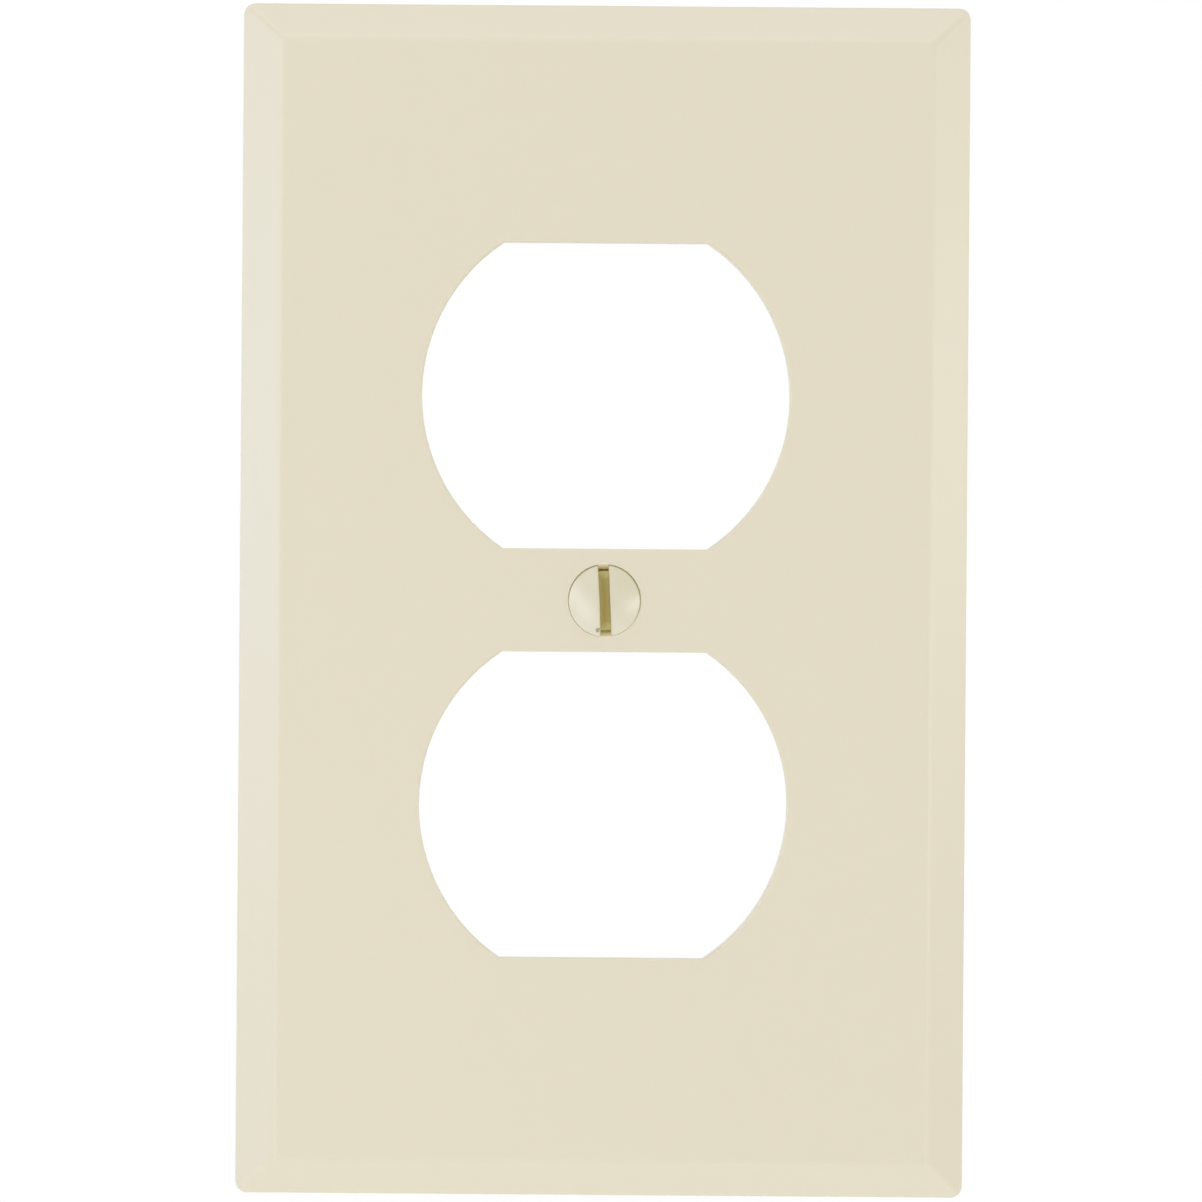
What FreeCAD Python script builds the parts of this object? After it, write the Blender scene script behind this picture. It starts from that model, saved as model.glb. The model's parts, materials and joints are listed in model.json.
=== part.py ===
import FreeCAD, Part
import math
import os

from FreeCAD import Vector

# A one-gang wall plate for a duplex receptacle, standing upright. Millimetres, +Z up.
# The wall is the plane y = 0 and the plate stands out from it towards -Y.
# The origin is on the screw's axis, where that axis meets the wall.

# Plate: outline and section
plate_width = 69.85         # 2.75 in, the standard one-gang size
plate_height = 114.3        # 4.5 in
plate_depth = 5.6           # 0.22 in, from the wall to the face
edge_height = 2.2           # straight edge between the wall and the bevel
bevel_run = 3.9             # how far the bevel goes in from the edge
corner_radius = 1.15        # corners in plan, at the straight edge
crest_round = 0.9           # between the bevel and the face
edge_round = 0.5            # between the straight edge and the bevel
face_thickness = 2.3
rim_wall = 2.0              # rim and bevel, square to the surface
hollow_corner_radius = 0.8

# Plate: the two receptacle openings, round with a flat top and bottom
opening_diameter = 34.9     # at the face
opening_height = 29.05      # flat to flat, at the face
opening_spacing = 38.9      # centre to centre
opening_draft = 5.0         # degrees that the walls open towards the back
opening_round = 0.2         # front edge of each opening
collar_width = 1.6          # raised ring behind each opening, from the opening's edge at the face
collar_height = 1.0

# Plate: ribs and ejector marks on the hidden side
rib_thickness = 1.2
rib_height = 0.9
ejector_diameter = 3.2
ejector_depth = 0.12
ejector_inset = 9.0         # from the hollow's corner walls, both ways

# Plate: screw boss and countersunk hole
countersink_angle = 84.0    # included; the head's own cone is a little steeper
screw_hole_diameter = 3.96
boss_diameter = 9.6
boss_back = 2.2             # how far the boss's end stays in front of the wall

# Screw: 6-32, oval slotted head, 1/2 in, with a relieved neck that keeps it captive
head_diameter = 6.78
head_angle = 82.0           # included angle of the cone under the head
head_gap = 0.11             # radial, from the head's edge to the countersink's at the face
head_edge = 0.12            # short straight edge between the cone and the crown
crown_height = 1.0
slot_width = 1.0
slot_depth = 1.45           # from the top of the crown
slot_lean = 2.6             # degrees that the slot leans from upright, as the screw was left
screw_length = 12.7         # from the head's widest edge to the tip
thread_diameter = 3.505
neck_diameter = 2.6
tip_chamfer = 0.45
seat_clearance = 0.03       # along the axis, between the head's cone and the clearance hole's edge

# Retainer: a thin fibre washer on the neck, behind the boss
retainer_diameter = 8.0
retainer_thickness = 0.64
retainer_bore_clearance = 0.05      # radial, round the neck
retainer_side_clearance = 0.03      # along the axis, at the thread and at the boss
captive_play = 1.4          # how far the screw draws out before the retainer stops it

# Derived places
panel_back = face_thickness - plate_depth       # y of the face panel's hidden side
opening_levels = (-opening_spacing / 2, opening_spacing / 2)
rib_levels = (opening_levels[0], 0, opening_levels[1])
bevel_slope = (plate_depth - edge_height) / bevel_run
bevel_shift = rim_wall * math.hypot(1, bevel_slope)     # the bevel's wall, measured along Y
draft_slope = math.tan(math.radians(opening_draft))
countersink_slope = math.tan(math.radians(countersink_angle / 2))
cone_slope = math.tan(math.radians(head_angle / 2))
screw_hole_radius = screw_hole_diameter / 2
countersink_radius = head_diameter / 2 + head_gap
countersink_end = -plate_depth + (countersink_radius - screw_hole_radius) / countersink_slope
head_y = countersink_end - seat_clearance - (head_diameter / 2 - screw_hole_radius) / cone_slope
retainer_front = -boss_back + captive_play + retainer_side_clearance
thread_start = retainer_front + retainer_thickness + retainer_side_clearance

overshoot = 1.0             # how far a cutting tool runs past the face it cuts
root = 0.5                  # how far a raised form is let into what it stands on
tolerance = 1e-3            # for finding edges by their place


def cylinder(diameter, back, front, z=0.0, x=0.0):
    """Round prism along Y, from y = back out to y = front."""
    return Part.makeCylinder(diameter / 2, back - front, Vector(x, back, z), Vector(0, -1, 0))


def bevelled_block(width, height, back, knee, front, run, corner):
    """Block with straight sides from y = back to knee, then a mitred bevel from knee to front."""
    def section(size, place):
        half = size / 2
        outline = [(-half, back), (half, back), (half, knee),
                   (half - run, front), (run - half, front), (-half, knee)]
        points = [place(across, y) for across, y in outline]
        return Part.Face(Part.makePolygon(points + points[:1]))

    upright = section(width, lambda x, y: Vector(x, y, -height / 2)).extrude(Vector(0, 0, height))
    level = section(height, lambda z, y: Vector(-width / 2, y, z)).extrude(Vector(width, 0, 0))
    block = upright.common(level).removeSplitter()
    return block.makeFillet(corner, edges_between(block, knee, back, back - knee - tolerance))


def edges_in_plane(shape, y):
    return [edge for edge in shape.Edges
            if abs(edge.BoundBox.YMin - y) < tolerance and abs(edge.BoundBox.YMax - y) < tolerance]


def edges_between(shape, low, high, least=0.0):
    """Edges from y = low to y = high that run at least the given length along Y."""
    return [edge for edge in shape.Edges
            if edge.BoundBox.YMin > low - tolerance and edge.BoundBox.YMax < high + tolerance
            and edge.BoundBox.YLength >= least]


def outer_block():
    """The plate's outside: straight edge, mitred bevel, rounded corners, soft crest."""
    block = bevelled_block(plate_width, plate_height, 0, -edge_height, -plate_depth,
                           bevel_run, corner_radius)
    mitres = edges_between(block, -plate_depth, -edge_height, (plate_depth - edge_height) / 2)
    block = block.makeFillet(crest_round, mitres + edges_in_plane(block, -plate_depth))
    return block.makeFillet(edge_round, edges_between(block, -edge_height - corner_radius, -edge_height))


def hollow():
    """The open back: the outside's own form, one wall thickness in, with a flat floor."""
    knee = -edge_height + bevel_shift - rim_wall * bevel_slope
    run = hollow_inset(panel_back) - rim_wall
    block = bevelled_block(plate_width - 2 * rim_wall, plate_height - 2 * rim_wall,
                           overshoot, knee, panel_back, run, hollow_corner_radius)
    mitres = edges_between(block, panel_back, knee, (knee - panel_back) / 2)
    return block.makeFillet(hollow_corner_radius, mitres)


def hollow_inset(y):
    """How far in from the plate's edge the hollow's sloped side is, at depth y."""
    return (bevel_shift - edge_height - y) / bevel_slope


def flats(width, height, back, front, z):
    """Block that trims a round form to a flat top and bottom; height is given at back and at front."""
    high_back, high_front = (size / 2 for size in height)
    corners = [(back, -high_back), (front, -high_front), (front, high_front), (back, high_back)]
    points = [Vector(-width / 2, y, z + up) for y, up in corners]
    return Part.Face(Part.makePolygon(points + points[:1])).extrude(Vector(width, 0, 0))


def opening(z):
    """Tool for one opening: true size at the face, drafted so that it widens towards the back."""
    back, front = overshoot, -plate_depth - overshoot
    widen = 2 * (back + plate_depth) * draft_slope
    narrow = 2 * overshoot * draft_slope
    bore = Part.makeCone((opening_diameter + widen) / 2, (opening_diameter - narrow) / 2, back - front,
                         Vector(0, back, z), Vector(0, -1, 0))
    heights = (opening_height + widen, opening_height - narrow)
    return bore.common(flats(opening_diameter + 2 * widen, heights, back, front, z))


def collar(z):
    """Raised ring on the panel's hidden side round one opening, before the opening is cut."""
    back, front = panel_back + collar_height, panel_back - root
    width, height = opening_diameter + 2 * collar_width, opening_height + 2 * collar_width
    return cylinder(width, back, front, z).common(flats(width, (height, height), back, front, z))


def rib(z):
    """Rib across the hollow at height z, let into the panel and into both sloped sides."""
    back = panel_back + rib_height
    width = plate_width - 2 * (hollow_inset(back) - root)
    return Part.makeBox(width, rib_height + root, rib_thickness,
                        Vector(-width / 2, panel_back - root, z - rib_thickness / 2))


def countersunk_hole():
    """Clearance hole through the boss with the head's countersink in the face."""
    mouth = countersink_radius + overshoot * countersink_slope
    profile = [(0, -plate_depth - overshoot), (mouth, -plate_depth - overshoot),
               (screw_hole_radius, countersink_end), (screw_hole_radius, overshoot), (0, overshoot)]
    return turned(profile)


def turned(profile):
    """Solid of revolution about the screw's axis from (radius, y) points."""
    points = [Vector(radius, y, 0) for radius, y in profile]
    face = Part.Face(Part.makePolygon(points + points[:1]))
    return face.revolve(Vector(0, 0, 0), Vector(0, 1, 0), 360)


def pierced_block():
    """The outside with both openings through it, their front edges rounded."""
    block = outer_block().cut([opening(z) for z in opening_levels])
    mouths = [edge for edge in edges_in_plane(block, -plate_depth) if is_on_mouth(edge.BoundBox.Center)]
    return block.makeFillet(opening_round, mouths)


def is_on_mouth(point):
    """Whether a point of the face lies on the edge of an opening rather than on the plate's crest."""
    top_of_mouths = (opening_spacing + opening_height) / 2
    return abs(point.x) < opening_diameter / 2 and abs(point.z) < top_of_mouths + tolerance


def backing():
    """What stands on the panel's hidden side: collars round the openings, ribs, screw boss."""
    boss = cylinder(boss_diameter, -boss_back, panel_back - root)
    solid = boss.fuse([collar(z) for z in opening_levels] + [rib(z) for z in rib_levels])
    return solid.cut([opening(z) for z in opening_levels])


def ejector_marks():
    """Shallow discs that the mould's ejector pins leave in the panel's hidden side."""
    inset = hollow_inset(panel_back) + ejector_inset
    x, z = plate_width / 2 - inset, plate_height / 2 - inset
    return [cylinder(ejector_diameter, panel_back + overshoot, panel_back - ejector_depth, sz * z, sx * x)
            for sx in (-1, 1) for sz in (-1, 1)]


def wall_plate():
    shell = pierced_block().cut(hollow())
    plate = shell.fuse(backing()).cut([countersunk_hole()] + ejector_marks())
    return plate.removeSplitter().Solids[0]


def mounting_screw():
    """Oval-head machine screw; the thread is its plain outside diameter."""
    head_radius, neck, thread = head_diameter / 2, neck_diameter / 2, thread_diameter / 2
    cone_end = head_y + (head_radius - neck) / cone_slope
    tip = head_y + screw_length
    crown_base = head_y - head_edge
    crown_top = head_y - crown_height
    shoulder = Vector(head_radius, crown_base, 0)
    top = Vector(0, crown_top, 0)
    rise = crown_height - head_edge
    crown_radius = (head_radius ** 2 + rise ** 2) / (2 * rise)
    bend = math.asin(head_radius / crown_radius) / 2
    middle = Vector(crown_radius * math.sin(bend), crown_top + crown_radius * (1 - math.cos(bend)), 0)
    below = [(head_radius, crown_base), (head_radius, head_y), (neck, cone_end),
             (neck, thread_start), (thread, thread_start), (thread, tip - tip_chamfer),
             (thread - tip_chamfer, tip), (0, tip), (0, crown_top)]
    edges = Part.makePolygon([Vector(radius, y, 0) for radius, y in below]).Edges
    edges.append(Part.Arc(top, middle, shoulder).toShape())
    screw = Part.Face(Part.Wire(edges)).revolve(Vector(0, 0, 0), Vector(0, 1, 0), 360)
    length = head_diameter + 2 * overshoot
    slot = Part.makeBox(slot_width, slot_depth + overshoot, length,
                        Vector(-slot_width / 2, crown_top - overshoot, -length / 2))
    slot.rotate(Vector(0, 0, 0), Vector(0, 1, 0), -slot_lean)
    return screw.cut(slot)


def screw_retainer():
    bore = neck_diameter + 2 * retainer_bore_clearance
    back = retainer_front + retainer_thickness
    return cylinder(retainer_diameter, back, retainer_front).cut(
        cylinder(bore, back + overshoot, retainer_front - overshoot))


def main():
    os.makedirs("parts", exist_ok=True)
    for node in (wall_plate, mounting_screw, screw_retainer):
        shape = node()
        shape.exportStep(f"parts/{node.__name__}.step")
        box = shape.BoundBox
        print(f"{node.__name__}: valid {shape.isValid()}, {len(shape.Solids)} solid,",
              f"{shape.Volume:.1f} mm3, {box.XLength:.2f} x {box.YLength:.2f} x {box.ZLength:.2f} mm,",
              f"y {box.YMin:.3f} to {box.YMax:.3f}")
    print(f"head's edge at y {head_y:.3f}, retainer from y {retainer_front:.2f},",
          f"thread from y {thread_start:.2f} to {head_y + screw_length - tip_chamfer:.3f}")


main()
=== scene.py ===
import json
import math

import bmesh
import bpy
from mathutils import Matrix, Vector, noise


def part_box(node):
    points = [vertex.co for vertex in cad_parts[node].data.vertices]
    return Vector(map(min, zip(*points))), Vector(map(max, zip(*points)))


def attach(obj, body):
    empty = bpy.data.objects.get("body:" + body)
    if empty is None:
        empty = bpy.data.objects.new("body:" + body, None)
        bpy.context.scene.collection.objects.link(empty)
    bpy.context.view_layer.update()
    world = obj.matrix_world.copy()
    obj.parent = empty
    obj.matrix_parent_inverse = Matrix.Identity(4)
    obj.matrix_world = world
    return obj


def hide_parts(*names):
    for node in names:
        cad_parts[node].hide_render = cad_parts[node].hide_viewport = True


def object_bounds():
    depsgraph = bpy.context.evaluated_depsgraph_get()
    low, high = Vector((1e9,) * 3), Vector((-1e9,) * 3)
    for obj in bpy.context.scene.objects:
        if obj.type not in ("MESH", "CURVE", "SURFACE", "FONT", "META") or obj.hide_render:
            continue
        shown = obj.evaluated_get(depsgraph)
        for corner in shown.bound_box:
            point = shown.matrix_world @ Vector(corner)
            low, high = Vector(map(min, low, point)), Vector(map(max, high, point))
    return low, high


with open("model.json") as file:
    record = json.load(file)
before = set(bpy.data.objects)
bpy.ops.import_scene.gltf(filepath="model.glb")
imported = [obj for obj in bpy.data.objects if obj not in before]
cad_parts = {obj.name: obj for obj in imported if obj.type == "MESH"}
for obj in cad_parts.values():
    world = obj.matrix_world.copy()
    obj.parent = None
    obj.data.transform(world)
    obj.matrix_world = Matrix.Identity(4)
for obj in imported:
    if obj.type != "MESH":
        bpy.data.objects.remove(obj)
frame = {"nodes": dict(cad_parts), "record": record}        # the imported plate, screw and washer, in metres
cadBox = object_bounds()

print("frame loaded:", ", ".join(sorted(frame["nodes"])))
millimetre = 0.001


def addNode(tree, kind, inputs=None, **settings):
    # an input that is a socket is linked, and any other is set
    node = tree.nodes.new(kind)
    for name, value in settings.items():
        setattr(node, name, value)
    for name, value in (inputs or {}).items():
        if isinstance(value, bpy.types.NodeSocket):
            tree.links.new(value, node.inputs[name])
        else:
            node.inputs[name].default_value = value
    return node


def compute(tree, operation, *terms):
    return addNode(tree, "ShaderNodeMath", dict(enumerate(terms)), operation=operation).outputs[0]


def between(tree, value, low, high, atLow=0.0, atHigh=1.0):
    # atLow at low and atHigh at high, held beyond both
    return addNode(tree, "ShaderNodeMapRange", {"Value": value, "From Min": low, "From Max": high,
                                                "To Min": atLow, "To Max": atHigh}).outputs[0]


def blend(tree, factor, first, second):
    return addNode(tree, "ShaderNodeMix", {"Factor": factor, "A": first, "B": second},
                   data_type="RGBA").outputs["Result"]


def noiseAt(tree, place, scale, detail):
    return addNode(tree, "ShaderNodeTexNoise", {"Vector": place, "Scale": scale,
                                                "Detail": detail}).outputs["Fac"]


def stretched(tree, place, scale):
    return addNode(tree, "ShaderNodeMapping", {"Vector": place, "Scale": scale}).outputs[0]


def lengthOf(tree, vector):
    return addNode(tree, "ShaderNodeVectorMath", {0: vector}, operation="LENGTH").outputs["Value"]


def newMaterial(name, shaderValues):
    material = bpy.data.materials.new(name)
    material.use_nodes = True
    tree = material.node_tree
    tree.nodes.clear()
    shader = addNode(tree, "ShaderNodeBsdfPrincipled", shaderValues)
    addNode(tree, "ShaderNodeOutputMaterial", {"Surface": shader.outputs["BSDF"]})
    return material, tree, shader


def giveMaterial(piece, material):
    piece.data.materials.clear()
    piece.data.materials.append(material)


def newObject(name, mesh):
    data = bpy.data.meshes.new(name)
    mesh.to_mesh(data)
    mesh.free()
    piece = bpy.data.objects.new(name, data)
    bpy.context.scene.collection.objects.link(piece)
    return piece


cameraValues = {
    "lens": 92.85,
    "sensor": 36,
    "distance": 0.300,
    "azimuth": 0.0,          # degrees round the upright, 0 looks straight at the face
    "elevation": 0.0,
    "roll": 0.44,
    "shift": 0.10,           # the camera stood a little to the left, square to the plate
    "aim": (-0.00011, 0.0, -0.00005),
    "nearest": 0.01,         # what is nearer isn't drawn
}


def makeCamera():
    values = cameraValues
    data = bpy.data.cameras.new("camera")
    data.lens = values["lens"]
    data.sensor_width = values["sensor"]
    data.shift_x = values["shift"]
    data.clip_start = values["nearest"]
    camera = bpy.data.objects.new("camera", data)
    bpy.context.scene.collection.objects.link(camera)
    turn = (Matrix.Rotation(math.radians(values["azimuth"]), 4, "Z")
            @ Matrix.Rotation(math.radians(90 - values["elevation"]), 4, "X")
            @ Matrix.Rotation(math.radians(values["roll"]), 4, "Z"))
    sideStep = values["shift"] * values["sensor"] * values["distance"] / values["lens"]
    camera.matrix_world = (Matrix.Translation(Vector(values["aim"])) @ turn
                           @ Matrix.Translation((-sideStep, 0, values["distance"])))
    bpy.context.scene.camera = camera


studioValues = {
    "worldLight": 0.70,      # on the object, while the background itself shows as white
    "floorSize": 2.6,
    "floorDrop": 0.36,       # the plate hangs on a wall, so the floor is well below it
    "floorColour": (0.86, 0.86, 0.86, 1),
    "floorRoughness": 0.9,
    "floorLift": 0.6,        # how much whiter the floor looks than its lamps make it
}

# position, size across and up, power in watts, colour
lampValues = {
    "frontSoftbox": ((-0.10, -0.50, 0.52), (0.4, 0.4), 0.26, (1.0, 1.0, 1.0)),
    "leftSoftbox": ((-0.56, -0.66, 0.0), (0.34, 1.1), 1.95, (1.0, 1.0, 1.0)),
    "leftEdgeStrip": ((-0.85, -0.10, 0.05), (0.16, 0.9), 1.48, (0.47, 0.66, 1.0)),
    "rightSoftbox": ((0.63, -0.57, -0.10), (0.2, 0.36), 0.5, (1.0, 1.0, 1.0)),
    "rightStrip": ((0.74, -0.43, 0.02), (0.14, 0.7), 0.38, (1.0, 1.0, 1.0)),
    "rightEdgeStrip": ((0.85, -0.12, 0.05), (0.14, 0.8), 0.9, (0.97, 1.0, 1.0)),
    "topEdgeStrip": ((0.0, -0.12, 0.85), (0.7, 0.14), 1.05, (0.85, 0.93, 1.0)),
    "lowEdgeStrip": ((0.0, -0.03, -0.33), (0.9, 0.05), 0.15, (1.0, 0.95, 0.7)),
}


def showsWhite(tree):
    # 1 where the background is looked at, or seen in gloss or through something clear
    rays = addNode(tree, "ShaderNodeLightPath").outputs
    mirrored = compute(tree, "MAXIMUM", rays["Is Glossy Ray"], rays["Is Transmission Ray"])
    return compute(tree, "MAXIMUM", rays["Is Camera Ray"], mirrored)


def makeFloor():
    values = studioValues
    mesh = bmesh.new()
    bmesh.ops.create_grid(mesh, x_segments=1, y_segments=1, size=values["floorSize"] / 2)
    bmesh.ops.translate(mesh, verts=mesh.verts, vec=(0, 0, cadBox[0].z - values["floorDrop"]))
    floor = newObject("floor", mesh)
    material, tree, shader = newMaterial("paleFloor", {
        "Base Color": values["floorColour"], "Roughness": values["floorRoughness"],
        "Specular IOR Level": 0.0, "Emission Color": (1, 1, 1, 1)})
    lift = compute(tree, "MULTIPLY", showsWhite(tree), values["floorLift"])
    tree.links.new(lift, shader.inputs["Emission Strength"])
    giveMaterial(floor, material)


def makeWorld():
    world = bpy.data.worlds.new("studio")
    bpy.context.scene.world = world
    world.use_nodes = True
    tree = world.node_tree
    tree.nodes.clear()
    strength = between(tree, showsWhite(tree), 0.0, 1.0, studioValues["worldLight"], 1.0)
    sky = addNode(tree, "ShaderNodeBackground", {"Color": (1, 1, 1, 1), "Strength": strength})
    addNode(tree, "ShaderNodeOutputWorld", {"Surface": sky.outputs[0]})


def makeLamps():
    for name, (place, size, power, colour) in lampValues.items():
        data = bpy.data.lights.new(name, "AREA")
        data.shape = "RECTANGLE"
        data.size, data.size_y = size
        data.energy = power
        data.color = colour
        lamp = bpy.data.objects.new(name, data)
        bpy.context.scene.collection.objects.link(lamp)
        lamp.location = place
        lamp.rotation_euler = (-Vector(place)).to_track_quat("-Z", "Z").to_euler()
        lamp.visible_camera = False


bpy.context.scene.view_settings.view_transform = "Standard"
makeCamera()
makeFloor()
makeWorld()
makeLamps()
print("camera and studio made")


def newGroup(name, numbers, result):
    # an effect that several finishes share: it makes one number from a place and some settings
    group = bpy.data.node_groups.new(name, "ShaderNodeTree")
    group.interface.new_socket("Vector", in_out="INPUT", socket_type="NodeSocketVector")
    for label in numbers:
        group.interface.new_socket(label, in_out="INPUT", socket_type="NodeSocketFloat")
    group.interface.new_socket(result, in_out="OUTPUT", socket_type="NodeSocketFloat")
    given = group.nodes.new("NodeGroupInput").outputs
    return group, given, group.nodes.new("NodeGroupOutput").inputs[result]


def placeGroup(tree, group, inputs):
    return addNode(tree, "ShaderNodeGroup", inputs, node_tree=group).outputs[0]


driftValues = {
    "slowDetail": 2.0,
    "quickDetail": 3.0,
    "quickScale": 9.0,       # times the slow one's
    "quickShare": 0.3,
}


def makeColourDrift():
    # slow and quick drift of a colour, 0.5 on average
    values = driftValues
    group, given, drift = newGroup("colourDrift", ("Scale",), "Drift")
    slow = noiseAt(group, given["Vector"], given["Scale"], values["slowDetail"])
    quickScale = compute(group, "MULTIPLY", given["Scale"], values["quickScale"])
    quick = noiseAt(group, given["Vector"], quickScale, values["quickDetail"])
    quiet = compute(group, "MULTIPLY_ADD", quick, values["quickShare"], -values["quickShare"] / 2)
    group.links.new(compute(group, "ADD", slow, quiet), drift)
    return group


skinValues = {
    "peelDetail": 1.0,
    "grainDetail": 2.0,
    "grainScale": 6.0,       # times the peel's
}


def makeMouldedSkin():
    # the slight orange peel that a mould or a sprayed coat leaves, with a finer grain on it
    values = skinValues
    group, given, height = newGroup("mouldedSkin", ("Scale", "Grain"), "Height")
    peel = noiseAt(group, given["Vector"], given["Scale"], values["peelDetail"])
    grainScale = compute(group, "MULTIPLY", given["Scale"], values["grainScale"])
    fine = noiseAt(group, given["Vector"], grainScale, values["grainDetail"])
    grain = compute(group, "MULTIPLY", fine, given["Grain"])
    group.links.new(compute(group, "ADD", peel, grain), height)
    return group


scratchValues = {
    "sets": ((0.5, 0.0), (-0.9, 7.3), (1.7, 19.1)),      # how far each is turned, and moved
    "lean": 0.6,             # turn about Y, as a share of the turns about X and Z
    "length": 0.04,          # scale of the noise along a mark
    "detail": 1.0,
    "edge": (0.69, 0.74),    # of the noise, where a mark begins and where it is whole
}


def makeHairScratches():
    # short hairline marks from handling
    values = scratchValues
    group, given, mask = newGroup("hairScratches", ("Scale", "Amount"), "Mask")
    marks = []
    for turn, away in values["sets"]:
        laid = addNode(group, "ShaderNodeMapping", {
            "Vector": given["Vector"], "Location": (away, 0, away),
            "Rotation": (turn, turn * values["lean"], turn), "Scale": (1.0, 1.0, values["length"])})
        streak = noiseAt(group, laid.outputs[0], given["Scale"], values["detail"])
        marks.append(between(group, streak, *values["edge"]))
    most = compute(group, "MAXIMUM", compute(group, "MAXIMUM", marks[0], marks[1]), marks[2])
    group.links.new(compute(group, "MULTIPLY", most, given["Amount"]), mask)
    return group


colourDrift = makeColourDrift()
mouldedSkin = makeMouldedSkin()
hairScratches = makeHairScratches()


def roughen(tree, shader, place, rough, values):
    scratches = placeGroup(tree, hairScratches, {"Vector": place, "Scale": values["scratchScale"],
                                                 "Amount": values["scratchRoughness"]})
    tree.links.new(compute(tree, "ADD", rough, scratches), shader.inputs["Roughness"])


def addSkin(tree, shader, place, values):
    skin = placeGroup(tree, mouldedSkin, {"Vector": place, "Scale": values["peelScale"],
                                          "Grain": values["peelGrain"]})
    bump = addNode(tree, "ShaderNodeBump", {"Height": skin, "Distance": values["peelDepth"],
                                            "Strength": 1.0})
    tree.links.new(bump.outputs[0], shader.inputs["Normal"])


plasticValues = {
    "ivory": (0.722, 0.657, 0.504, 1),
    "paleIvory": (0.730, 0.665, 0.514, 1),
    "driftScale": 14,
    "mouthPaintedLight": (0.90, 0.82, 0.59, 1),        # painted light: a pale warm glow at the countersink's mouth, in place of light bounced into the narrow gap round the head
    # painted light: a golden tint of warm bounced light deeper in the countersink
    "deepPaintedLight": (0.72, 0.555, 0.215, 1),
    "paintedLightDepth": (0.06, 0.5),                  # mm behind the face, from the one painted light to the other
    "mouthRadius": 3.52,                       # mm from the screw's axis
    "mouthEnd": 1.8,                           # mm behind the face
    "mouthFade": 0.1,
    "roughness": 0.35,
    "backRoughness": 0.52,
    "backFacing": (0.3, 0.6),                  # how far a face looks back, from the one to the other
    "scratchRoughness": 0.10,
    "scratchScale": 900.0,
    "peelScale": 1400,
    "peelGrain": 0.25,
    "peelDepth": 0.000004,                     # in metres
}


def makeIvoryPlastic():
    values = plasticValues
    material, tree, shader = newMaterial("ivoryPlastic", {"IOR": 1.5})
    place = addNode(tree, "ShaderNodeTexCoord").outputs["Object"]
    drift = placeGroup(tree, colourDrift, {"Vector": place, "Scale": values["driftScale"]})
    ivory = blend(tree, drift, values["ivory"], values["paleIvory"])
    # distance from the screw's axis and depth behind the face, in millimetres
    radius = lengthOf(tree, stretched(tree, place, (1 / millimetre, 0, 1 / millimetre)))
    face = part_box("wall_plate")[0].y
    backward = addNode(tree, "ShaderNodeSeparateXYZ", {0: place}).outputs["Y"]
    depth = compute(tree, "MULTIPLY_ADD", backward, 1 / millimetre, -face / millimetre)
    # painted light in the countersink, paler at its mouth and golden deeper in, where light bounces into the
    # gap
    countersinkLight = blend(tree, between(tree, depth, *values["paintedLightDepth"]), values["mouthPaintedLight"], values["deepPaintedLight"])
    inMouth = compute(tree, "MULTIPLY", compute(tree, "LESS_THAN", radius, values["mouthRadius"]),
                      between(tree, depth, values["mouthEnd"], values["mouthEnd"] - values["mouthFade"]))
    tree.links.new(blend(tree, inMouth, ivory, countersinkLight), shader.inputs["Base Color"])
    normal = addNode(tree, "ShaderNodeNewGeometry").outputs["Normal"]
    facingBack = addNode(tree, "ShaderNodeSeparateXYZ", {0: normal}).outputs["Y"]
    rough = between(tree, facingBack, *values["backFacing"], values["roughness"], values["backRoughness"])
    roughen(tree, shader, place, rough, values)
    addSkin(tree, shader, place, values)
    return material


giveMaterial(frame["nodes"]["wall_plate"], makeIvoryPlastic())
print("plate finished")


# the screw and the washer are made in millimetres, and finishPiece brings them to metres
mergeDistance = 1e-4
levelTolerance = 1e-5
cutTolerance = 1e-6


def turnProfile(mesh, profile, steps):
    # turns a line of (radius, y) points right round the screw's axis
    corners = [mesh.verts.new((radius, y, 0)) for radius, y in profile]
    lines = [mesh.edges.new(pair) for pair in zip(corners, corners[1:])]
    bmesh.ops.spin(mesh, geom=corners + lines, cent=(0, 0, 0), axis=(0, 1, 0), angle=math.tau, steps=steps,
                   use_merge=True)
    bmesh.ops.remove_doubles(mesh, verts=mesh.verts, dist=mergeDistance)


def roundCorner(before, corner, after, radius, steps):
    # points of a small arc in place of one corner of a profile
    before, corner, after = Vector(before), Vector(corner), Vector(after)
    inward, outward = (before - corner).normalized(), (after - corner).normalized()
    halfAngle = inward.angle(outward) / 2
    reach = radius / math.tan(halfAngle)
    centre = corner + (inward + outward).normalized() * radius / math.sin(halfAngle)
    start, end = (corner + side * reach - centre for side in (inward, outward))
    turn = start.angle_signed(end)
    arc = [centre + Matrix.Rotation(-turn * step / steps, 2) @ start for step in range(steps + 1)]
    return [tuple(point) for point in arc]


def cutAcross(mesh, place, normal, parts=None, clearOuter=False):
    # cuts the whole mesh, or only the parts given
    parts = parts or mesh.verts[:] + mesh.edges[:] + mesh.faces[:]
    bmesh.ops.bisect_plane(mesh, geom=parts, plane_co=place, plane_no=normal, dist=cutTolerance,
                           clear_outer=clearOuter)


def openEdges(mesh, axis, level):
    # the open edges that lie in one plane across X (0) or Y (1)
    return [edge for edge in mesh.edges
            if edge.is_boundary and all(abs(vert.co[axis] - level) < levelTolerance for vert in edge.verts)]


def finishPiece(name, mesh, body, node, material, sharpAngle):
    bmesh.ops.recalc_face_normals(mesh, faces=mesh.faces)
    bmesh.ops.scale(mesh, verts=mesh.verts, vec=(millimetre, millimetre, millimetre))
    piece = newObject(name, mesh)
    piece.data.shade_smooth()
    piece.data.set_sharp_from_angle(angle=math.radians(sharpAngle))
    giveMaterial(piece, material)
    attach(piece, body)
    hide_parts(node)


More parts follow.
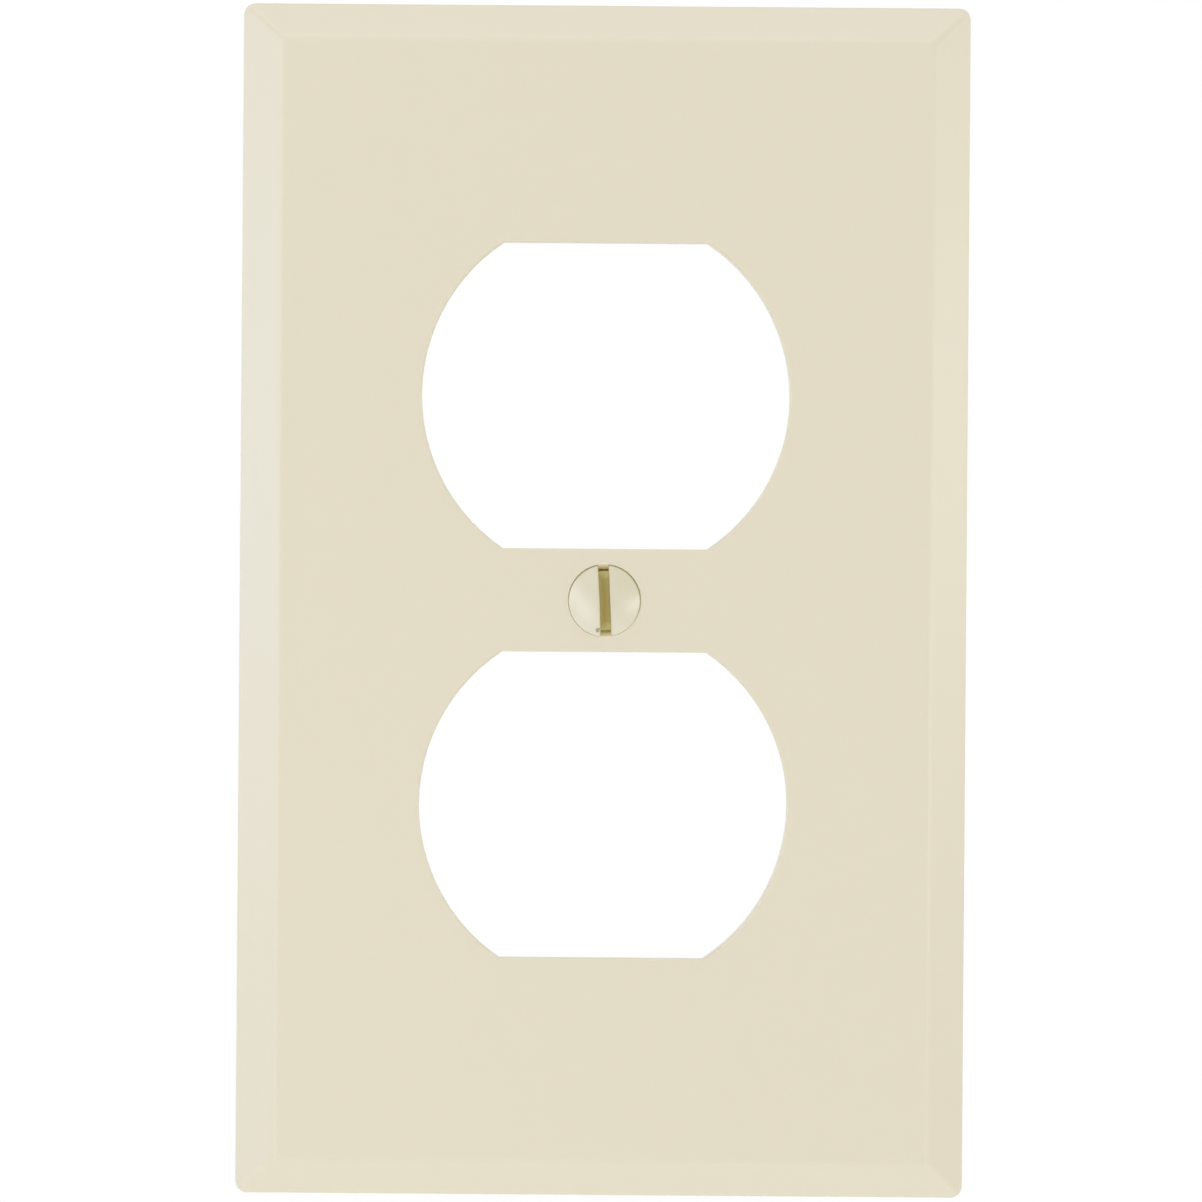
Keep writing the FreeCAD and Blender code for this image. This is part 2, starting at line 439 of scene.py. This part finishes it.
# the oval-head screw
screwValues = {
    "length": 12.7,          # from the head's widest edge to the tip
    "crownHeight": 1.0,
    "crownSteps": 24,
    "rimHeight": 0.12,
    "rimRound": 0.04,
    "rimSteps": 4,
    "coneAngle": 83.5,       # a little less than its seat's, so that the loose head can settle
    "neckRadius": 1.3,
    "neckRound": 0.35,
    "neckSteps": 6,
    "neckOverlap": 0.3,      # how far the neck runs on inside the thread
    "turnSteps": 128,
    "slotWidth": 1.0,
    "slotDepth": 1.45,
    "slotLean": 2.6,         # degrees, as the screw was left
    "slotRound": 0.13,
    "slotSteps": 4,
    "paintCoat": 0.014,      # on the head's edge
    "settled": (0.012, 0, -0.03),    # the loose screw lies on the lower side of its hole
    "pitch": 0.794,
    "threadCrest": 0.10,
    "threadRoot": 0.16,
    "threadSteps": 48,       # in one turn
    "threadStart": 0.67,     # behind the washer's front
    "leadIn": 0.5,
    "leadInHeight": 0.1,     # of the thread, where it begins
    "tipChamfer": 0.45,
    "sharpAngle": 35,
}


def cutSlot(mesh, halfWidth, floor):
    lip, steps = screwValues["slotRound"], screwValues["slotSteps"]
    # lines along the slot's lips, for roundLips to bend into arcs
    for step in range(steps + 1):
        cut = halfWidth + lip * (1 - math.cos(math.tau / 4 * step / steps))
        for side in (-cut, cut):
            cutAcross(mesh, (side, 0, 0), (1, 0, 0))

    def overSlot(face):
        return abs(face.calc_center_median().x) < halfWidth

    strip = [face for face in mesh.faces if overSlot(face)]
    around = dict.fromkeys(part for face in strip for part in (*face.verts, *face.edges))
    cutAcross(mesh, (0, floor, 0), (0, 1, 0), parts=list(around) + strip)
    above = [face for face in mesh.faces if overSlot(face) and face.calc_center_median().y < floor]
    bmesh.ops.delete(mesh, geom=above, context="FACES")
    # the two walls, each with a new edge along the floor, and then the floor
    for side in (-halfWidth, halfWidth):
        rim = openEdges(mesh, 0, side)
        ends = [vert for edge in rim for vert in edge.verts if abs(vert.co.y - floor) < levelTolerance]
        bmesh.ops.contextual_create(mesh, geom=rim + [mesh.edges.new(ends)])
    bmesh.ops.contextual_create(mesh, geom=[edge for edge in mesh.edges if edge.is_boundary])


def roundLips(mesh, halfWidth, headRadius, crownAt):
    # the crown sinks along an arc into the walls of the slot
    lip = screwValues["slotRound"]
    for vert in mesh.verts:
        reach = halfWidth + lip - abs(vert.co.x)
        if 0 < reach < lip + levelTolerance:
            radius = min(math.hypot(vert.co.x, vert.co.z), headRadius)
            sunk = crownAt(radius) + lip - math.sqrt(max(lip ** 2 - reach ** 2, 0))
            vert.co.y = max(vert.co.y, sunk)
    bmesh.ops.remove_doubles(mesh, verts=mesh.verts, dist=mergeDistance)


def makeHead(mesh, headRadius, headY, neckEnd):
    values = screwValues
    crownTop = headY - values["crownHeight"]
    shoulder = headY - values["rimHeight"]
    rise = shoulder - crownTop
    crownRadius = (headRadius ** 2 + rise ** 2) / (2 * rise)
    sweep = math.asin(headRadius / crownRadius)
    angles = [sweep * step / values["crownSteps"] for step in range(values["crownSteps"])]
    crown = [(crownRadius * math.sin(angle), crownTop + crownRadius * (1 - math.cos(angle)))
             for angle in angles]
    neck = values["neckRadius"]
    coneEnd = headY + (headRadius - neck) / math.tan(math.radians(values["coneAngle"] / 2))
    rimRound, rimSteps = values["rimRound"], values["rimSteps"]
    profile = crown
    profile += roundCorner(crown[-1], (headRadius, shoulder), (headRadius, headY), rimRound, rimSteps)
    profile += roundCorner((headRadius, shoulder), (headRadius, headY), (neck, coneEnd), rimRound, rimSteps)
    profile += roundCorner((headRadius, headY), (neck, coneEnd), (neck, 0), values["neckRound"],
                           values["neckSteps"])
    profile += [(neck, neckEnd), (0, neckEnd)]
    turnProfile(mesh, profile, values["turnSteps"])
    cutSlot(mesh, values["slotWidth"] / 2, crownTop + values["slotDepth"])
    roundLips(mesh, values["slotWidth"] / 2, headRadius,
              lambda radius: crownTop + crownRadius - math.sqrt(crownRadius ** 2 - radius ** 2))


def makeThread(mesh, crest, start, tip):
    # one tooth goes round and along at once, from before the start to past the tip
    values = screwValues
    pitch, root, steps = values["pitch"], values["neckRadius"], values["threadSteps"]
    halfRoot = values["threadRoot"] / 2
    flank = (pitch - values["threadCrest"] - values["threadRoot"]) / 2
    along = (0, halfRoot, halfRoot + flank, halfRoot + flank + values["threadCrest"], pitch - halfRoot, pitch)
    outward = (root, root, crest, crest, root, root)
    spareTurns = 3           # half of them before the start, and the rest past the tip
    first = start - spareTurns / 2 * pitch
    corners = [mesh.verts.new((radius, first + y, 0)) for radius, y in zip(outward, along)]
    lines = [mesh.edges.new(pair) for pair in zip(corners, corners[1:])]
    turns = math.ceil((tip - start) / pitch) + spareTurns
    bmesh.ops.spin(mesh, geom=corners + lines, cent=(0, 0, 0), axis=(0, 1, 0), dvec=(0, pitch / steps, 0),
                   angle=math.tau * turns, steps=steps * turns, use_merge=False)
    bmesh.ops.remove_doubles(mesh, verts=mesh.verts, dist=mergeDistance)
    # both ends are cut square and closed
    for level, normal in ((start, -1), (tip, 1)):
        cutAcross(mesh, (0, level, 0), (0, normal, 0), clearOuter=True)
        bmesh.ops.contextual_create(mesh, geom=openEdges(mesh, 1, level))
    for vert in mesh.verts:
        radius = math.hypot(vert.co.x, vert.co.z)
        leadIn = root + values["leadInHeight"] + (crest - root) * (vert.co.y - start) / values["leadIn"]
        chamfer = crest - values["tipChamfer"] + (tip - vert.co.y)
        allowed = min(leadIn, chamfer)
        if radius > allowed:
            vert.co.x *= allowed / radius
            vert.co.z *= allowed / radius


def makeScrew(material):
    values = screwValues
    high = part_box("mounting_screw")[1] / millimetre
    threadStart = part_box("screw_retainer")[0].y / millimetre + values["threadStart"]
    mesh = bmesh.new()
    makeHead(mesh, high.x + values["paintCoat"], high.y - values["length"],
             threadStart + values["neckOverlap"])
    mount = next(mount for mount in frame["record"]["mounts"] if mount["name"] == "screw_thread")
    thread = bmesh.new()
    makeThread(thread, mount["dims"]["r_mm"], threadStart, high.y)
    joined = bpy.data.meshes.new("thread")
    thread.to_mesh(joined)
    thread.free()
    mesh.from_mesh(joined)
    bpy.data.meshes.remove(joined)
    lean = Matrix.Rotation(-math.radians(values["slotLean"]), 3, "Y")
    bmesh.ops.rotate(mesh, verts=mesh.verts, cent=(0, 0, 0), matrix=lean)
    bmesh.ops.translate(mesh, verts=mesh.verts, vec=values["settled"])
    finishPiece("ovalHeadScrew", mesh, "screw", "mounting_screw", material,
                values["sharpAngle"])


# the peel and the scratches are in metres and the rest in mm, and a noise is its scale and detail
steelValues = {
    "plating": (0.46, 0.37, 0.16, 1),
    "darkPlating": (0.30, 0.23, 0.08, 1),
    # painted shade: in the slot the metal is darker than the shank's, in place of the shade and dark
    # reflections down in it
    "shadedSlotPlating": (0.38, 0.305, 0.103, 1),
    "slotShade": (0.33, 0.258, 0.077, 1),
    "slotEnd": 0.8,                            # behind the shoulder, where the slot's colours stop
    "slotFade": 0.1,
    "drawnNoise": (5.2, 2.0),
    "drawnLength": 0.06,                       # scale of that noise along the slot
    # painted sheen: the slot's floor lighter beside the walls and towards the ends, in place of reflections
    "slotSheen": (0.485, 0.437, 0.20, 1),
    "wallSheen": 0.6,                          # beside the walls
    "wallReach": (0.1, 0.5),
    "endSheen": 0.8,                           # towards the ends
    "endReach": (2.0, 2.7),
    "cornerAcross": (-0.05, 0.3),              # painted highlight: one corner of each end is the brightest
    "cornerAlong": (1.9, 2.3),
    "slotEndShadow": (0.14, 0.10, 0.025, 1),        # painted shadow at the very ends of the slot, where its floor meets the gap
    "endShadowReach": (2.76, 2.84),
    "lowerEndShadow": 0.6,                          # share of that painted shadow at the lower end
    "endShadowAlong": (-1.0, 1.0),
    "paint": (0.68, 0.634, 0.492, 1),
    "shadedSidePaint": (0.635, 0.585, 0.415, 1),    # painted shade: the head's paint is darker towards its top and right
    "shadedSideReach": (-3.4, 3.4),
    "shadedSideSlant": 0.35,                        # how far that side lies across the slot's direction
    "thinPaint": (0.60, 0.53, 0.32, 1),        # on the lips of the slot
    "lipReach": (0.48, 0.72),
    "rimShadeAndChipPaint": (0.31, 0.26, 0.13, 1),        # painted shade on the head's rim, and the coat's real colour where it is chipped
    "rimReach": (3.28, 3.35),
    "rimShadeReach": (-1.2, 2.1),               # the rim's painted shade grows towards the head's shaded side
    "chip": (-0.76, 0, -2.76),                 # its middle, across and along the slot
    "chipSize": 0.23,
    "chipFade": 0.03,
    "chipRagged": 0.5,
    "chipNoise": (7.0, 3.0),
    "paintEnd": 0.35,                          # behind the shoulder, where the coat has thinned out
    "paintFade": 0.2,
    "paintRagged": 0.3,
    "paintNoise": (3.5, 3.0),
    "paintRoughness": 0.3,
    "platingRoughness": 0.36,
    "scratchRoughness": 0.12,
    "scratchScale": 2600.0,
    "peelScale": 2600.0,
    "peelGrain": 0.3,
    "peelDepth": 0.000006,
}


def platingColour(tree, slotPlace, shoulder):
    values = steelValues
    side, depth, along = addNode(tree, "ShaderNodeSeparateXYZ", {0: slotPlace}).outputs
    across = compute(tree, "ABSOLUTE", side)
    outward = compute(tree, "ABSOLUTE", along)
    drawn = noiseAt(tree, stretched(tree, slotPlace, (1.0, 1.0, values["drawnLength"])),
                    *values["drawnNoise"])
    plating = blend(tree, drawn, values["darkPlating"], values["plating"])
    # the slot's painted shade, with painted sheen and painted shadow laid on it below
    slotPaintedLight = blend(tree, drawn, values["slotShade"], values["shadedSlotPlating"])
    # painted sheen and painted highlight on the slot's floor
    besideWalls = between(tree, across, *values["wallReach"], 0.0, values["wallSheen"])
    towardsEnds = between(tree, outward, *values["endReach"], 0.0, values["endSheen"])
    inCorner = compute(tree, "MULTIPLY", between(tree, side, *values["cornerAcross"]),
                       between(tree, outward, *values["cornerAlong"]))
    sheen = compute(tree, "MAXIMUM", compute(tree, "MAXIMUM", besideWalls, towardsEnds), inCorner)
    slotPaintedLight = blend(tree, sheen, slotPaintedLight, values["slotSheen"])
    # painted shadow at both ends of the slot, deeper at the upper end
    shadowAtEnds = compute(tree, "MULTIPLY", between(tree, outward, *values["endShadowReach"]),
                   between(tree, along, *values["endShadowAlong"], values["lowerEndShadow"], 1.0))
    slotPaintedLight = blend(tree, shadowAtEnds, slotPaintedLight, values["slotEndShadow"])
    slotEnd = shoulder + values["slotEnd"]
    inSlot = between(tree, depth, slotEnd, slotEnd - values["slotFade"])
    return blend(tree, inSlot, plating, slotPaintedLight)


def paintColour(tree, slotPlace):
    values = steelValues
    apart = addNode(tree, "ShaderNodeSeparateXYZ", {0: slotPlace}).outputs
    side, along = apart["X"], apart["Z"]
    # painted shade: the head's paint darkens towards its top and right
    towardsShadedSide = compute(tree, "MULTIPLY_ADD", side, values["shadedSideSlant"], along)
    coat = blend(tree, between(tree, towardsShadedSide, *values["shadedSideReach"]), values["paint"],
                 values["shadedSidePaint"])
    besideLips = between(tree, compute(tree, "ABSOLUTE", side), *values["lipReach"])
    coat = blend(tree, besideLips, values["thinPaint"], coat)
    flat = addNode(tree, "ShaderNodeCombineXYZ", {"X": side, "Z": along}).outputs[0]
    # painted shade round the head's rim, stronger towards the top, and a real chip in the coat
    shadeOnRim = compute(tree, "MULTIPLY", between(tree, lengthOf(tree, flat), *values["rimReach"]),
                      between(tree, towardsShadedSide, *values["rimShadeReach"]))
    fromChip = addNode(tree, "ShaderNodeVectorMath", {0: flat, 1: values["chip"]}, operation="DISTANCE")
    flaked = noiseAt(tree, slotPlace, *values["chipNoise"])
    chipEdge = compute(tree, "MULTIPLY_ADD", flaked, values["chipRagged"], fromChip.outputs["Value"])
    chipEnd = values["chipSize"] + values["chipRagged"] / 2
    chipped = between(tree, chipEdge, chipEnd, chipEnd - values["chipFade"])
    return blend(tree, compute(tree, "MAXIMUM", shadeOnRim, chipped), coat, values["rimShadeAndChipPaint"])


def makePaintedSteel():
    values = steelValues
    material, tree, shader = newMaterial("paintedSteel", {"IOR": 1.8})
    place = addNode(tree, "ShaderNodeTexCoord").outputs["Object"]
    # the same place in millimetres, turned so that Z runs along the slot
    slotPlace = addNode(tree, "ShaderNodeMapping", {
        "Vector": place, "Rotation": (0, math.radians(screwValues["slotLean"]), 0),
        "Scale": (1 / millimetre, 1 / millimetre, 1 / millimetre)}).outputs[0]
    depth = addNode(tree, "ShaderNodeSeparateXYZ", {0: slotPlace}).outputs["Y"]
    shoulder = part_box("mounting_screw")[1].y / millimetre - screwValues["length"]
    ragged = noiseAt(tree, slotPlace, *values["paintNoise"])
    wander = compute(tree, "MULTIPLY_ADD", ragged, values["paintRagged"], depth)
    paintEnd = shoulder + values["paintEnd"] + values["paintRagged"] / 2
    painted = between(tree, wander, paintEnd, paintEnd - values["paintFade"])
    colour = blend(tree, painted, platingColour(tree, slotPlace, shoulder), paintColour(tree, slotPlace))
    tree.links.new(colour, shader.inputs["Base Color"])
    tree.links.new(compute(tree, "SUBTRACT", 1.0, painted), shader.inputs["Metallic"])
    rough = between(tree, painted, 0.0, 1.0, values["platingRoughness"], values["paintRoughness"])
    roughen(tree, shader, place, rough, values)
    addSkin(tree, shader, place, values)
    return material


makeScrew(makePaintedSteel())
print("screw made")


# the fibre washer that holds the screw in the plate
washerValues = {
    "bore": 1.35,
    "edgeRound": 0.07,
    "edgeSteps": 3,
    "faceSteps": 6,
    "turnSteps": 96,
    "waviness": 0.015,
    "waveScale": 1.4,
    "sharpAngle": 40,
    "fibre": (0.24, 0.055, 0.030, 1),
    "darkFibre": (0.13, 0.028, 0.018, 1),
    "driftScale": 420.0,
    "layers": (1.0, 14.0, 1.0),      # scale of the flecks and the skin, which lie flat
    "fleckNoise": (2400.0, 4.0),
    "fleckShare": 0.8,
    "mottle": (0.6, 1.2),
    "roughness": (0.68, 0.88),
    "peelScale": 1800.0,
    "peelGrain": 0.8,
    "peelDepth": 0.00002,    # in metres
}


def makeRedFibre():
    values = washerValues
    material, tree, shader = newMaterial("redFibre", {"IOR": 1.45})
    place = addNode(tree, "ShaderNodeTexCoord").outputs["Object"]
    drift = placeGroup(tree, colourDrift, {"Vector": place, "Scale": values["driftScale"]})
    layers = stretched(tree, place, values["layers"])
    flecks = noiseAt(tree, layers, *values["fleckNoise"])
    mixed = compute(tree, "MULTIPLY_ADD", flecks, values["fleckShare"], drift)
    colour = blend(tree, between(tree, mixed, *values["mottle"]), values["darkFibre"], values["fibre"])
    tree.links.new(colour, shader.inputs["Base Color"])
    tree.links.new(between(tree, flecks, 0.0, 1.0, *values["roughness"]), shader.inputs["Roughness"])
    addSkin(tree, shader, layers, values)
    return material


def makeWasher(material):
    values = washerValues
    low, high = (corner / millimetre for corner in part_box("screw_retainer"))
    bore, rim, front, back = values["bore"], high.x, low.y, high.y
    mesh = bmesh.new()
    square = ((bore, front), (rim, front), (rim, back), (bore, back))
    ring = []
    for place, corner in enumerate(square):
        following = square[(place + 1) % len(square)]
        ring += roundCorner(square[place - 1], corner, following, values["edgeRound"], values["edgeSteps"])
        if place in (0, 2):      # the front and back faces have points between, to be wavy
            start, end, steps = Vector(ring[-1]), Vector(following), values["faceSteps"]
            ring += [tuple(start.lerp(end, step / steps)) for step in range(1, steps)]
    turnProfile(mesh, ring + ring[:1], values["turnSteps"])
    for vert in mesh.verts:
        dent = values["waviness"] * (0.5 + 0.5 * noise.noise(vert.co * values["waveScale"]))
        vert.co.y += dent if vert.co.y < (front + back) / 2 else -dent
    finishPiece("fibreWasher", mesh, "retainer", "screw_retainer", material,
                values["sharpAngle"])


makeWasher(makeRedFibre())
print("washer made")
